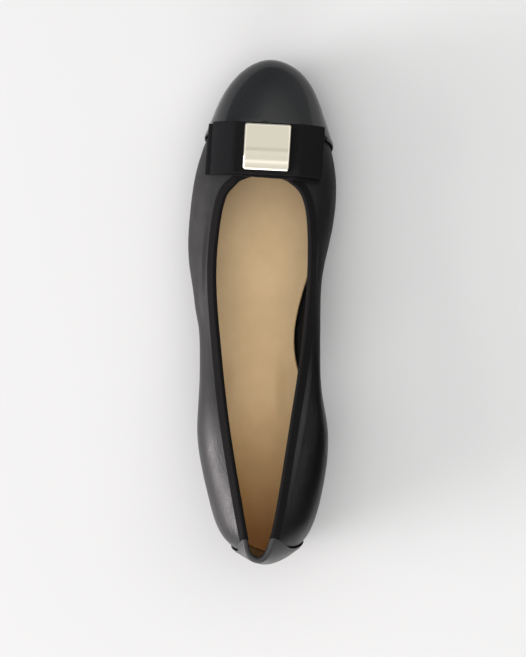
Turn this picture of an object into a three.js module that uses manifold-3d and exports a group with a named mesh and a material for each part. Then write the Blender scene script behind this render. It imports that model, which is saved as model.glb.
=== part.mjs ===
// A left ballet flat with a low heel: cap toe, heel patch, bound topline, and a flat ribbon bow under a
// square plate. Millimetres. +X is the wearer's right (the inner side of this left shoe), +Y runs from heel
// to toe, +Z is up.
// The origin lies on the floor, under the middle of the shoe's outline.
import * as THREE from "three";
import { mergeVertices } from "three/addons/utils/BufferGeometryUtils.js";
import Module from "manifold-3d";

const wasm = await Module();
wasm.setup();

// Sizes of the last
const LENGTH = 250; // heel to toe tip, over the upper
const BALL_WIDTH = 73.7; // across the ball, over the upper
const INSTEP = 33.5; // throat above the outsole
const BACK_HEIGHT = 44; // topline at the back above the outsole
const HEEL_HEIGHT = 15; // floor to the outsole's underside at the seat
const TOE_SPRING = 7; // floor to the outsole's underside at the toe tip
const TREAD_FRONT = 0.18 * LENGTH; // where the forefoot leaves the floor towards the toe
const TREAD_BACK = 0.06 * LENGTH; // where it leaves the floor towards the arch
const BREAST = -0.248 * LENGTH; // front face of the heel

// Thicknesses and widths
const OUTSOLE = 3;
const SOLE_MARGIN = 1.2; // how far the outsole stands out past the feather edge
const WALL = 1.5;
const LASTING_MARGIN = 7; // width of the wall's edge turned in under the insole
const LASTING = 1.2; // its thickness
const INSOLE = 2.5;
const HEEL_LIFT = 4; // height of the replaceable bottom of the heel
const HEEL_TAPER = 1.6; // how far the heel draws in from top to floor
const HEEL_MARGIN = 0.6; // how far the heel's top stands out past the feather edge
const CAP = 0.8;
const CAP_EDGE = 0.34 * LENGTH; // the toe cap's back edge, at the height CAP_EDGE_RISE
const CAP_EDGE_RISE = 15;
const CAP_LEAN = 0.3; // how far it runs ahead for each millimetre up
const CAP_TURN = -4; // degrees that it is turned, further back on the inner side
const PATCH = 0.8;
const PATCH_TURN = 2.8; // degrees that the patch is turned, further ahead on the inner side
const BINDING = 0.45; // thickness of the binding tape
const PLUMP = 0.3; // how far a fold over the topline swells in its middle
const BINDING_LEG = 3.2; // depth of a fold on either side of the wall
const GAP = 0.3; // clearance between two pieces that meet

// Bow and plate
const RIBBON_WIDTH = 25.4;
const RIBBON = 0.8; // thickness of one ply
const BOW_SPAN = 55; // upper loops, end to end
const LOWER_BOW_SPAN = 57.4;
const LOOP_OPEN = 1.7; // free space inside an upper loop
const LOWER_LOOP_OPEN = 1.0;
const BOW_DROOP = 6.5; // how far the loops' ends bend down over the vamp
const BOW_ACROSS = 4; // place of the bow's middle
const BOW_ALONG = 0.3168 * LENGTH;
const BOW_RISE = 0.25; // how far its underside stands off the toe cap
const BOW_TURN = -3; // degrees
const LOWER_BOW_TURN = -1.5; // degrees that the lower loops are turned further
const LOWER_BOW_ACROSS = -1.4; // and moved, towards the outer side
const LOWER_BOW_BACK = 1.2; // and back
const PLATE = 22.6;
const KNOT = PLATE + 2 * GAP; // middle stretch of the bow, where the plies lie flat together
const PLATE_THICKNESS = 2.6;
const PLATE_AHEAD = 0.4; // plate's middle ahead of the bow's
const PLATE_BEND = 1.4; // how far its top rounds down to the back edge

// Resolution
const RIB_SPACING = 6.5;
const WALL_STEPS = 10;

// Each row is a rib of the last, from the heel's back along the inner side to the toe and back along the
// outer side. wide: the rib's outermost point; shoulder: where it turns in; lip: its end at the topline.
// Along is a share of LENGTH and across a share of BALL_WIDTH. wideRise is a share of INSTEP above the
// outsole, lipRise goes from INSTEP at 0 to BACK_HEIGHT at 1, and shoulderRise is a share of the way from
// wide to lip. tuck is how far the feather edge lies inside wide, a share of BALL_WIDTH.
const RIB_COLUMNS = [
  "wideAlong",
  "wideAcross",
  "wideRise",
  "shoulderAlong",
  "shoulderAcross",
  "shoulderRise",
  "lipAlong",
  "lipAcross",
  "lipRise",
  "tuck",
];
const RIB_TABLE = [
  { name: "back", row: [-0.491, 0.036, 0.39, -0.4868, 0.024, 0.58, -0.48, 0.003, 1.0, 0.046] },
  { name: "back inner", row: [-0.4748, 0.194, 0.39, -0.4712, 0.15, 0.58, -0.466, 0.07, 0.97, 0.046] },
  { name: "corner inner", row: [-0.442, 0.311, 0.39, -0.44, 0.25, 0.6, -0.433, 0.107, 0.86, 0.046] },
  { name: "heel inner", row: [-0.368, 0.407, 0.4, -0.368, 0.334, 0.62, -0.364, 0.15, 0.52, 0.049] },
  { name: "seat inner", row: [-0.21, 0.444, 0.38, -0.21, 0.4, 0.62, -0.206, 0.232, -0.07, 0.062] },
  { name: "waist inner", row: [-0.056, 0.308, 0.2, -0.056, 0.403, 0.66, -0.056, 0.308, -0.12, 0.04] },
  { name: "joint inner", row: [0.096, 0.418, 0.25, 0.096, 0.412, 0.66, 0.096, 0.347, -0.09, 0.042] },
  { name: "ball inner", row: [0.208, 0.502, 0.27, 0.208, 0.431, 0.74, 0.2, 0.3275, -0.09, 0.037] },
  { name: "vamp inner", row: [0.32, 0.477, 0.25, 0.304, 0.402, 0.66, 0.2448, 0.257, -0.04, 0.035] },
  { name: "edge inner", row: [0.38, 0.412, 0.23, 0.355, 0.345, 0.6, 0.2544, 0.215, 0, 0.034] },
  { name: "cap inner", row: [0.428, 0.355, 0.2, 0.398, 0.288, 0.54, 0.262, 0.171, 0, 0.033] },
  { name: "toe inner", row: [0.47, 0.262, 0.175, 0.441, 0.21, 0.47, 0.2684, 0.095, 0, 0.033] },
  { name: "toe tip", row: [0.496, 0.055, 0.165, 0.468, 0.046, 0.43, 0.2704, 0.02, 0, 0.033] },
  { name: "toe outer", row: [0.47, -0.13, 0.175, 0.4406, -0.1, 0.47, 0.2688, -0.049, 0, 0.033] },
  { name: "cap outer", row: [0.428, -0.24, 0.2, 0.3968, -0.194, 0.54, 0.262, -0.118, 0, 0.033] },
  { name: "edge outer", row: [0.376, -0.3205, 0.23, 0.3536, -0.262, 0.6, 0.2544, -0.158, 0, 0.034] },
  { name: "vamp outer", row: [0.32, -0.398, 0.25, 0.304, -0.333, 0.66, 0.2448, -0.195, -0.04, 0.035] },
  { name: "ball outer", row: [0.2, -0.478, 0.27, 0.202, -0.404, 0.74, 0.2, -0.265, -0.09, 0.037] },
  { name: "joint outer", row: [0.096, -0.484, 0.26, 0.096, -0.394, 0.8, 0.096, -0.308, -0.09, 0.042] },
  { name: "waist outer", row: [-0.056, -0.38, 0.22, -0.056, -0.386, 0.7, -0.056, -0.28, -0.12, 0.045] },
  { name: "seat outer", row: [-0.232, -0.418, 0.37, -0.232, -0.364, 0.62, -0.228, -0.206, -0.05, 0.057] },
  { name: "heel outer", row: [-0.368, -0.339, 0.4, -0.368, -0.28, 0.62, -0.364, -0.129, 0.52, 0.049] },
  { name: "corner outer", row: [-0.442, -0.24, 0.39, -0.44, -0.196, 0.6, -0.433, -0.09, 0.86, 0.046] },
  { name: "back outer", row: [-0.474, -0.118, 0.39, -0.4696, -0.095, 0.58, -0.466, -0.066, 0.97, 0.046] },
];

// The heel patch's front edge, seen from the side: how far ahead of the heel's back, as a share of LENGTH,
// at heights that are shares of BACK_HEIGHT above the outsole.
const PATCH_EDGE = [
  { height: -0.2, ahead: 0.062 },
  { height: 0.08, ahead: 0.05 },
  { height: 0.3, ahead: 0.039 },
  { height: 0.47, ahead: 0.0345 },
  { height: 0.62, ahead: 0.034 },
  { height: 0.76, ahead: 0.038 },
  { height: 0.88, ahead: 0.049 },
  { height: 0.98, ahead: 0.0635 },
  { height: 1.2, ahead: 0.075 },
];

// Solves a small dense linear system by elimination.
function solve(matrix, right) {
  const n = right.length;
  const a = matrix.map((row, i) => [...row, right[i]]);
  for (let i = 0; i < n; i++) {
    for (let k = i + 1; k < n; k++) {
      const f = a[k][i] / a[i][i];
      for (let j = i; j <= n; j++) a[k][j] -= f * a[i][j];
    }
  }
  const x = new Array(n).fill(0);
  for (let i = n - 1; i >= 0; i--) {
    let sum = a[i][n];
    for (let j = i + 1; j < n; j++) sum -= a[i][j] * x[j];
    x[i] = sum / a[i][i];
  }
  return x;
}

// A smooth cubic through values at knots. A closed one has one more knot than values, where it meets
// itself.
function spline(knots, values, closed = false) {
  const n = values.length;
  const at = (i) => values[closed ? (i + n) % n : i];
  const width = (i) => (closed ? knots[((i + n) % n) + 1] - knots[(i + n) % n] : knots[i + 1] - knots[i]);
  const matrix = values.map(() => new Array(n).fill(0));
  const right = new Array(n).fill(0);
  for (let i = 0; i < n; i++) {
    if (!closed && (i === 0 || i === n - 1)) {
      matrix[i][i] = 1;
      continue;
    }
    const before = width(i - 1);
    const after = width(i);
    matrix[i][(i - 1 + n) % n] += before / 6;
    matrix[i][i] += (before + after) / 3;
    matrix[i][(i + 1) % n] += after / 6;
    right[i] = (at(i + 1) - at(i)) / after - (at(i) - at(i - 1)) / before;
  }
  const bend = solve(matrix, right);
  return (t) => {
    let i = 0;
    while (i < knots.length - 2 && t > knots[i + 1]) i++;
    const h = knots[i + 1] - knots[i];
    const a = (knots[i + 1] - t) / h;
    const b = 1 - a;
    const bendNext = bend[closed ? (i + 1) % n : i + 1];
    return a * at(i) + b * at(i + 1) + (((a ** 3 - a) * bend[i] + (b ** 3 - b) * bendNext) * h * h) / 6;
  };
}

// Knots as far apart as the points.
function chordKnots(points) {
  const knots = [0];
  for (let i = 1; i < points.length; i++) knots.push(knots[i - 1] + points[i].distanceTo(points[i - 1]));
  return knots;
}

const smooth = (t) => t * t * (3 - 2 * t);
const clamp01 = (t) => Math.min(1, Math.max(0, t));

// Height of the outsole's underside: a heel seat, an arch, a flat tread and the toe spring.
function soleLine(y) {
  if (y > TREAD_FRONT) return TOE_SPRING * ((y - TREAD_FRONT) / (LENGTH / 2 - TREAD_FRONT)) ** 2;
  return HEEL_HEIGHT * smooth(clamp01((TREAD_BACK - y) / (TREAD_BACK - BREAST)));
}

const soleTop = (y) => soleLine(y) + OUTSOLE;

const column = (name) => RIB_TABLE.map(({ row }) => row[RIB_COLUMNS.indexOf(name)]);
const plan = (along, across, z) => new THREE.Vector3(across * BALL_WIDTH, along * LENGTH, z);
const WIDE_ACROSS = column("wideAcross");
const WIDE_POINTS = column("wideAlong").map((along, i) => plan(along, WIDE_ACROSS[i], 0));
const RIB_KNOTS = chordKnots([...WIDE_POINTS, WIDE_POINTS[0]]);
const ROUND = RIB_KNOTS[RIB_KNOTS.length - 1];
const RIB_CURVES = Object.fromEntries(
  RIB_COLUMNS.map((name) => [name, spline(RIB_KNOTS, column(name), true)]),
);
const knotOf = (name) => RIB_KNOTS[RIB_TABLE.findIndex((entry) => entry.name === name)];

// A column's value at a distance round the wide outline, which may run past the table's end.
const value = (name, round) => RIB_CURVES[name](((round % ROUND) + ROUND) % ROUND);

// Outward direction of the wide outline, in plan.
function outward(round) {
  const step = 0.5;
  const at = (r) => plan(value("wideAlong", r), value("wideAcross", r), 0);
  const along = at(round + step).sub(at(round - step));
  return new THREE.Vector3(along.y, -along.x, 0).normalize();
}

// The rib at a distance round the wide outline: feather edge, wide point, shoulder and lip, with a smooth
// curve through them.
function rib(round) {
  const at = Object.fromEntries(RIB_COLUMNS.map((name) => [name, value(name, round)]));
  const wide = plan(at.wideAlong, at.wideAcross, soleTop(at.wideAlong * LENGTH) + at.wideRise * INSTEP);
  const lipHeight = THREE.MathUtils.lerp(INSTEP, BACK_HEIGHT, at.lipRise);
  const lip = plan(at.lipAlong, at.lipAcross, soleTop(at.lipAlong * LENGTH) + lipHeight);
  const shoulderHeight = THREE.MathUtils.lerp(wide.z, lip.z, at.shoulderRise);
  const shoulder = plan(at.shoulderAlong, at.shoulderAcross, shoulderHeight);
  const feather = wide.clone().addScaledVector(outward(round), -at.tuck * BALL_WIDTH);
  feather.z = soleTop(feather.y) + GAP;
  const points = [feather, wide, shoulder, lip];
  const knots = chordKnots(points);
  const curves = ["x", "y", "z"].map((axis) =>
    spline(
      knots,
      points.map((p) => p[axis]),
    ),
  );
  const end = knots[knots.length - 1];
  return {
    end,
    at: (t) => new THREE.Vector3(...curves.map((curve) => curve(Math.min(end, Math.max(0, t))))),
  };
}

// A point of the last's surface at a distance below the lip, with its outward normal and its direction up
// the rib.
function surface(round, below) {
  const step = 0.25;
  const line = rib(round);
  const t = line.end - below;
  const share = t / line.end;
  const beside = (r) => {
    const other = rib(r);
    return other.at(other.end * share);
  };
  const up = line.at(t + step).sub(line.at(t - step));
  const around = beside(round + step).sub(beside(round - step));
  return { point: line.at(t), normal: around.cross(up).normalize(), up: up.normalize() };
}

// Ribs at every row of the table, with more between rows that lie further apart.
const RIB_PLACES = RIB_TABLE.flatMap((_, i) => {
  const steps = Math.max(3, Math.round((RIB_KNOTS[i + 1] - RIB_KNOTS[i]) / RIB_SPACING));
  return Array.from({ length: steps }, (_, k) => {
    return THREE.MathUtils.lerp(RIB_KNOTS[i], RIB_KNOTS[i + 1], k / steps);
  });
});

// Distances below the lip at which a wall has its points, from the feather edge up. One lies at the
// binding's edge.
function wallPlaces(round, drop = 0) {
  const end = rib(round).end;
  const steps = Array.from({ length: WALL_STEPS }, (_, j) => {
    return THREE.MathUtils.lerp(end, BINDING_LEG, j / (WALL_STEPS - 1));
  });
  return [...steps.filter((below) => below > drop + GAP), drop];
}

// A closed solid through equal rings of points. The rings close on the first one, or are stopped by flat
// ends made of strips from each point to its partner on the ring's other half. Every quad is split along its
// rising diagonal, so that layers which follow each other stay parallel.
function loft(rings, closed) {
  const size = rings[0].length;
  const positions = rings.flat().flatMap((p) => [p.x, p.y, p.z]);
  const index = [];
  const id = (i, j) => (i % rings.length) * size + (j % size);
  for (let i = 0; i < (closed ? rings.length : rings.length - 1); i++) {
    for (let j = 0; j < size; j++) {
      const [a, b, c, d] = [id(i, j), id(i + 1, j), id(i + 1, j + 1), id(i, j + 1)];
      const rising = rings[i][(j + 1) % size].z >= rings[i][j].z;
      index.push(...(rising ? [a, b, c, a, c, d] : [a, b, d, b, c, d]));
    }
  }
  if (!closed) {
    for (let j = 0; j < size / 2 - 1; j++) {
      const strip = [j, j + 1, size - 2 - j, size - 1 - j];
      const [a, b, c, d] = strip.map((k) => id(0, k));
      const [e, f, g, h] = strip.map((k) => id(rings.length - 1, k));
      index.push(a, b, c, a, c, d);
      index.push(e, g, f, e, h, g);
    }
  }
  const geometry = new THREE.BufferGeometry();
  geometry.setAttribute("position", new THREE.Float32BufferAttribute(positions, 3));
  geometry.setIndex(index);
  return signedVolume(geometry) < 0 ? turned(geometry) : geometry;
}

function signedVolume(geometry) {
  const p = geometry.attributes.position;
  const corner = (k) => new THREE.Vector3().fromBufferAttribute(p, geometry.index.getX(k));
  let sum = 0;
  for (let k = 0; k < geometry.index.count; k += 3) {
    sum += corner(k).dot(corner(k + 1).cross(corner(k + 2)));
  }
  return sum / 6;
}

// The same mesh with its faces turned round.
function turned(geometry) {
  const index = Array.from(geometry.index.array);
  for (let k = 0; k < index.length; k += 3) {
    [index[k + 1], index[k + 2]] = [index[k + 2], index[k + 1]];
  }
  return geometry.setIndex(index);
}

function toManifold(geometry) {
  const bare = geometry.clone();
  for (const name of Object.keys(bare.attributes)) {
    if (name !== "position") bare.deleteAttribute(name);
  }
  const merged = mergeVertices(bare, 1e-4);
  return new wasm.Manifold(
    new wasm.Mesh({
      numProp: 3,
      vertProperties: new Float32Array(merged.attributes.position.array),
      triVerts: new Uint32Array(merged.index.array),
    }),
  );
}

function fromManifold(solid) {
  const mesh = solid.getMesh();
  const geometry = new THREE.BufferGeometry();
  geometry.setAttribute("position", new THREE.Float32BufferAttribute(mesh.vertProperties, 3));
  geometry.setIndex(Array.from(mesh.triVerts));
  return geometry;
}

// A prism of a plan outline, from one height to another.
function planPrism(outline, bottom, top) {
  const shape = new THREE.Shape(outline.map((p) => new THREE.Vector2(p.x, p.y)));
  const geometry = new THREE.ExtrudeGeometry(shape, { depth: top - bottom, bevelEnabled: false });
  return toManifold(geometry.translate(0, 0, bottom));
}

// A prism of a side view outline, whose points are (y, z), right across the shoe.
function sidePrism(outline) {
  const shape = new THREE.Shape(outline);
  const geometry = new THREE.ExtrudeGeometry(shape, { depth: 2 * BALL_WIDTH, bevelEnabled: false });
  geometry.applyMatrix4(
    new THREE.Matrix4().makeBasis(
      new THREE.Vector3(0, 1, 0),
      new THREE.Vector3(0, 0, 1),
      new THREE.Vector3(1, 0, 0),
    ),
  );
  return toManifold(geometry.translate(-BALL_WIDTH, 0, 0));
}

// Stations for the side view of the sole: closer where it bends, and exactly at the ends of its flat
// stretches.
function soleStations() {
  const stretch = (from, to, n) => Array.from({ length: n }, (_, i) => from + ((to - from) * i) / n);
  return [
    ...stretch(-0.6 * LENGTH, BREAST, 2),
    ...stretch(BREAST, TREAD_BACK, 14),
    ...stretch(TREAD_BACK, TREAD_FRONT, 2),
    ...stretch(TREAD_FRONT, 0.5 * LENGTH, 9),
    0.5 * LENGTH,
    0.6 * LENGTH,
  ];
}

// The side view band between two heights above the outsole's underside.
function soleBand(low, high) {
  const stations = soleStations();
  const under = stations.map((y) => new THREE.Vector2(y, soleLine(y) + low));
  const over = stations.map((y) => new THREE.Vector2(y, soleLine(y) + high)).reverse();
  return sidePrism([...under, ...over]);
}

// The feather edge, moved out by a distance, as a plan outline.
function featherOutline(out) {
  return RIB_PLACES.map((round) => rib(round).at(0).addScaledVector(outward(round), out));
}

// The upper: outer face, lip, inner face and the lasting margin turned in under the insole, as one ring.
function upperGeometry() {
  const rings = RIB_PLACES.map((round) => {
    const feather = rib(round).at(0);
    const marginTop = feather.z + LASTING;
    const outer = wallPlaces(round).map((below) => surface(round, below).point);
    const inner = wallPlaces(round).map((below) => {
      const { point, normal } = surface(round, below);
      point.addScaledVector(normal, -WALL);
      point.z = Math.max(point.z, marginTop);
      return point;
    });
    const edgeLow = feather.clone().addScaledVector(outward(round), -WALL - LASTING_MARGIN);
    edgeLow.z = soleTop(edgeLow.y) + GAP;
    const edgeHigh = edgeLow.clone().setZ(edgeLow.z + LASTING);
    return [...outer, ...inner.reverse(), edgeHigh, edgeLow];
  });
  return loft(rings, true);
}

// Points on the wall's outer face at a distance off it, from the feather edge up to a distance below the
// lip.
function layer(round, out, drop) {
  return wallPlaces(round, drop).map((below) => {
    const { point, normal } = surface(round, below);
    point.addScaledVector(normal, out);
    point.z = Math.max(point.z, soleTop(point.y) + GAP);
    return point;
  });
}

// Points of a tape folded over the lip at a distance off the wall: from the outer face over to the end
// inside.
function fold(round, out, plump) {
  const { point: lip, normal, up } = surface(round, 0);
  const over = (away, rise) => lip.clone().addScaledVector(normal, away).addScaledVector(up, rise);
  const { point: end, normal: endNormal } = surface(round, BINDING_LEG);
  end.addScaledVector(endNormal, -WALL - out);
  return [over(out, GAP), over(-WALL / 2, out + plump), over(-WALL - out, GAP), end];
}

// Ribs between two rows of the table, by name. They may run past the end of the table.
function placesBetween(first, last) {
  const from = knotOf(first);
  const to = knotOf(last) < from ? knotOf(last) + ROUND : knotOf(last);
  const twice = [...RIB_PLACES, ...RIB_PLACES.map((round) => round + ROUND)];
  return twice.filter((round) => round >= from && round <= to);
}

// The toe cap: a shell on the upper, cut off along a straight back edge.
function toeCapGeometry() {
  const drop = BINDING_LEG + GAP;
  const rings = placesBetween("ball inner", "ball outer").map((round) => {
    return [...layer(round, GAP + CAP, drop), ...layer(round, GAP, drop).reverse()];
  });
  const edge = (z) => new THREE.Vector2(CAP_EDGE + CAP_LEAN * (z - CAP_EDGE_RISE), z);
  const top = 2 * BACK_HEIGHT;
  const front = [new THREE.Vector2(LENGTH, -top), new THREE.Vector2(LENGTH, top)];
  const ahead = sidePrism([edge(-top), ...front, edge(top)]).rotate([0, 0, CAP_TURN]);
  return fromManifold(toManifold(loft(rings, false)).intersect(ahead));
}

// Everything behind the heel patch's front edge, moved ahead by a distance.
function patchRegion(ahead) {
  const seat = HEEL_HEIGHT + OUTSOLE;
  const edge = new THREE.SplineCurve(
    PATCH_EDGE.map((at) => {
      return new THREE.Vector2(LENGTH * (at.ahead - 0.5) + ahead, seat + at.height * BACK_HEIGHT);
    }),
  ).getPoints(24);
  const behind = -LENGTH;
  const outline = [
    new THREE.Vector2(behind, edge[0].y),
    ...edge,
    new THREE.Vector2(behind, edge[edge.length - 1].y),
  ];
  return sidePrism(outline).rotate([0, 0, PATCH_TURN]);
}

// The heel patch: a shell on the upper, folded in over the topline, cut off along its front edge.
function heelPatchGeometry() {
  const rings = placesBetween("heel outer", "heel inner").map((round) => {
    const side = (out, plump) => [...layer(round, out, 0).slice(0, -1), ...fold(round, out, plump)];
    return [...side(GAP + PATCH, PLUMP), ...side(GAP, 0).reverse()];
  });
  return fromManifold(toManifold(loft(rings, false)).intersect(patchRegion(0)));
}

// The binding: a tape folded over the topline, between the two ends of the heel patch.
function bindingGeometry() {
  const rings = RIB_PLACES.map((round) => {
    const side = (out, plump) => {
      const { point, normal } = surface(round, BINDING_LEG);
      return [point.addScaledVector(normal, out), ...fold(round, out, plump)];
    };
    return [...side(GAP + BINDING, PLUMP), ...side(GAP, 0).reverse()];
  });
  return fromManifold(toManifold(loft(rings, true)).subtract(patchRegion(GAP)));
}

function outsoleGeometry() {
  const outline = featherOutline(SOLE_MARGIN);
  return fromManifold(planPrism(outline, -INSTEP, 3 * BACK_HEIGHT).intersect(soleBand(0, OUTSOLE)));
}

// The insole lies on the lasting margin, inside the wall.
function insoleGeometry() {
  const outline = featherOutline(-WALL - 2 * GAP);
  const low = OUTSOLE + LASTING + 2 * GAP;
  return fromManifold(planPrism(outline, -INSTEP, 3 * BACK_HEIGHT).intersect(soleBand(low, low + INSOLE)));
}

// A slice of the heel between two heights, drawn in towards the floor and cut off at the breast.
function heelSlice(low, high) {
  const rings = [low, high].map((z) => {
    return featherOutline(HEEL_MARGIN - HEEL_TAPER * (1 - z / HEEL_HEIGHT)).map((p) => p.setZ(z));
  });
  const size = rings[0].length;
  const positions = rings.flat().flatMap((p) => [p.x, p.y, p.z]);
  const cap = THREE.ShapeUtils.triangulateShape(
    rings[0].map((p) => new THREE.Vector2(p.x, p.y)),
    [],
  );
  const index = [];
  for (const [a, b, c] of cap) index.push(a, c, b, a + size, b + size, c + size);
  for (let j = 0; j < size; j++) {
    const k = (j + 1) % size;
    index.push(j, k, k + size, j, k + size, j + size);
  }
  const block = new THREE.BufferGeometry();
  block.setAttribute("position", new THREE.Float32BufferAttribute(positions, 3));
  block.setIndex(index);
  const facingOut = signedVolume(block) < 0 ? turned(block) : block;
  const breast = [
    new THREE.Vector2(-LENGTH, -HEEL_HEIGHT),
    new THREE.Vector2(BREAST, -HEEL_HEIGHT),
    new THREE.Vector2(BREAST, 2 * HEEL_HEIGHT),
    new THREE.Vector2(-LENGTH, 2 * HEEL_HEIGHT),
  ];
  return fromManifold(toManifold(facingOut).intersect(sidePrism(breast)));
}

// A flattened ribbon seen from the front: two loops, open inside, on either side of a flat knot, drooping at
// the ends.
function loopsGeometry(span, open, across) {
  const steps = 9;
  const half = span / 2;
  const fromKnot = (x, end) => clamp01((Math.abs(x) - KNOT / 2) / (end - KNOT / 2));
  const droop = (x) => -BOW_DROOP * fromKnot(x + across, BOW_SPAN / 2) ** 1.6;
  // The loop swells soon after the knot and closes in a round end.
  const swell = (x) => {
    const t = fromKnot(x, half);
    const closing = 1 - Math.max(0, (t - 0.35) / 0.65) ** 4;
    return open * smooth(clamp01(t / 0.35)) * Math.sqrt(Math.max(0, closing));
  };
  const xs = Array.from({ length: steps + 1 }, (_, i) => {
    return THREE.MathUtils.lerp(KNOT / 2, half, Math.sin((i / steps) * (Math.PI / 2)));
  });
  const all = [...xs.map((x) => -x).reverse(), ...xs];
  const under = all.map((x) => new THREE.Vector2(x, droop(x)));
  const over = all.map((x) => new THREE.Vector2(x, droop(x) + 2 * RIBBON + swell(x))).reverse();
  const shape = new THREE.Shape([...under, ...over]);
  for (const side of [-1, 1]) {
    const places = Array.from({ length: steps }, (_, i) => {
      return side * THREE.MathUtils.lerp(KNOT / 2 + RIBBON, half - RIBBON, i / (steps - 1));
    });
    const low = places.map((x) => new THREE.Vector2(x, droop(x) + RIBBON));
    const high = places
      .slice(1, -1)
      .map((x) => new THREE.Vector2(x, droop(x) + RIBBON + Math.max(0.15, swell(x))))
      .reverse();
    shape.holes.push(new THREE.Path([...low, ...high]));
  }
  const geometry = new THREE.ExtrudeGeometry(shape, { depth: RIBBON_WIDTH, bevelEnabled: false });
  return geometry.translate(across, 0, -RIBBON_WIDTH / 2).rotateX(Math.PI / 2);
}

// The plate: flat underneath, level on top in front and rounded down at the back, as wide as it is long.
function plateGeometry() {
  const steps = 10;
  const ys = Array.from({ length: steps + 1 }, (_, i) => PLATE * (0.5 - i / steps));
  const over = ys.map((y) => new THREE.Vector2(y, PLATE_THICKNESS - PLATE_BEND * (0.5 - y / PLATE) ** 3));
  const shape = new THREE.Shape([
    new THREE.Vector2(-PLATE / 2, 0),
    new THREE.Vector2(PLATE / 2, 0),
    ...over,
  ]);
  const geometry = new THREE.ExtrudeGeometry(shape, { depth: PLATE, bevelEnabled: false });
  geometry.translate(0, 0, -PLATE / 2);
  return geometry.applyMatrix4(
    new THREE.Matrix4().makeBasis(
      new THREE.Vector3(0, 1, 0),
      new THREE.Vector3(0, 0, 1),
      new THREE.Vector3(1, 0, 0),
    ),
  );
}

// The vamp's height on the line from toe tip to throat, with the cap on it, at a place along the shoe.
function vampCrest(y) {
  const line = rib(knotOf("toe tip"));
  let low = 0;
  let high = line.end;
  while (high - low > 0.01) {
    const middle = (low + high) / 2;
    if (line.at(middle).y > y) low = middle;
    else high = middle;
  }
  return line.at(low).z + GAP + CAP;
}

const shoe = new THREE.Group();

function add(parent, name, geometry, color, roughness, metalness = 0) {
  const mesh = new THREE.Mesh(geometry, new THREE.MeshStandardMaterial({ color, roughness, metalness }));
  mesh.name = name;
  mesh.geometry.computeVertexNormals();
  parent.add(mesh);
  return mesh;
}

add(shoe, "upper", upperGeometry(), 0x2b2a2b, 0.45);
add(shoe, "toe_cap", toeCapGeometry(), 0x16181a, 0.15);
add(shoe, "heel_patch", heelPatchGeometry(), 0x1b1b1c, 0.15);
add(shoe, "topline_binding", bindingGeometry(), 0x1a1a1e, 0.85);
add(shoe, "insole", insoleGeometry(), 0xc9ab82, 0.6);
add(shoe, "outsole", outsoleGeometry(), 0x17171a, 0.6);
add(shoe, "heel_block", heelSlice(HEEL_LIFT + GAP, HEEL_HEIGHT - GAP), 0x1b1a1a, 0.5);
add(shoe, "heel_lift", heelSlice(0, HEEL_LIFT), 0x101010, 0.8);

// The bow lies on the vamp, tipped as the vamp slopes, with the plate over its knot.
const bow = new THREE.Group();
const crestFront = vampCrest(BOW_ALONG + RIBBON_WIDTH / 2);
const crestBack = vampCrest(BOW_ALONG - RIBBON_WIDTH / 2);
const slope = Math.atan2(crestFront - crestBack, RIBBON_WIDTH);
bow.position.set(BOW_ACROSS, BOW_ALONG, (crestFront + crestBack) / 2 + BOW_RISE);
bow.rotation.set(slope, 0, THREE.MathUtils.degToRad(BOW_TURN), "ZXY");
shoe.add(bow);

const upperHeight = 2 * RIBBON + LOWER_LOOP_OPEN + 2 * GAP;
const lowerGeometry = loopsGeometry(LOWER_BOW_SPAN, LOWER_LOOP_OPEN, LOWER_BOW_ACROSS);
const lowerLoops = add(bow, "bow_lower", lowerGeometry, 0x17171a, 0.9);
lowerLoops.rotation.z = THREE.MathUtils.degToRad(LOWER_BOW_TURN);
lowerLoops.position.y = -LOWER_BOW_BACK;
const upperLoops = add(bow, "bow_upper", loopsGeometry(BOW_SPAN, LOOP_OPEN, 0), 0x17171a, 0.9);
upperLoops.position.z = upperHeight;
const plate = add(bow, "plate", plateGeometry(), 0xd8d2c4, 0.2, 1);
plate.position.set(0, PLATE_AHEAD, upperHeight + 2 * RIBBON + GAP);

export default shoe;
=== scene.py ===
"""The looks of the left ballet flat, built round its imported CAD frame. Sizes here are in millimetres."""

import math

import bpy
import numpy as np
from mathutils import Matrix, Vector, noise


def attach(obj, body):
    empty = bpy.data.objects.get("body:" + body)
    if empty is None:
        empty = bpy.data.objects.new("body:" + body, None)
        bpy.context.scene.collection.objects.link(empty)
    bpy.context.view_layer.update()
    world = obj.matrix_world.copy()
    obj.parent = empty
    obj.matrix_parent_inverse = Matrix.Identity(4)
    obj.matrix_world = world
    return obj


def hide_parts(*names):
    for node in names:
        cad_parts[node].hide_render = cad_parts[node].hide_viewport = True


MM = 0.001

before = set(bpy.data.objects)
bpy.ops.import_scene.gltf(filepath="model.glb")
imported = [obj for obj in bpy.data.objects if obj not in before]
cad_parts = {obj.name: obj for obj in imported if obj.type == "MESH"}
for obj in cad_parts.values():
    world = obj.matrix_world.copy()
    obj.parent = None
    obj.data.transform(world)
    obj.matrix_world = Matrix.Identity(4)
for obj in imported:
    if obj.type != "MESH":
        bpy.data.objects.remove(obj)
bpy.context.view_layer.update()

# Sizes of the shoe, the same as the solids have
LENGTH = 250
BALL_WIDTH = 73.7
INSTEP = 33.5
BACK_HEIGHT = 44
HEEL_HEIGHT = 15
TOE_SPRING = 7
TREAD_FRONT = 0.18 * LENGTH
TREAD_BACK = 0.06 * LENGTH
BREAST = -0.248 * LENGTH
OUTSOLE = 3
SOLE_MARGIN = 1.2
WALL = 1.5
LASTING_MARGIN = 7
LASTING = 1.2
INSOLE = 2.5
HEEL_LIFT = 4
HEEL_TAPER = 1.6
HEEL_MARGIN = 0.6
CAP = 0.8
CAP_EDGE = 0.34 * LENGTH
CAP_EDGE_RISE = 15
CAP_LEAN = 0.3
CAP_TURN = -4
PATCH = 0.8
PATCH_TURN = 2.8
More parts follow.
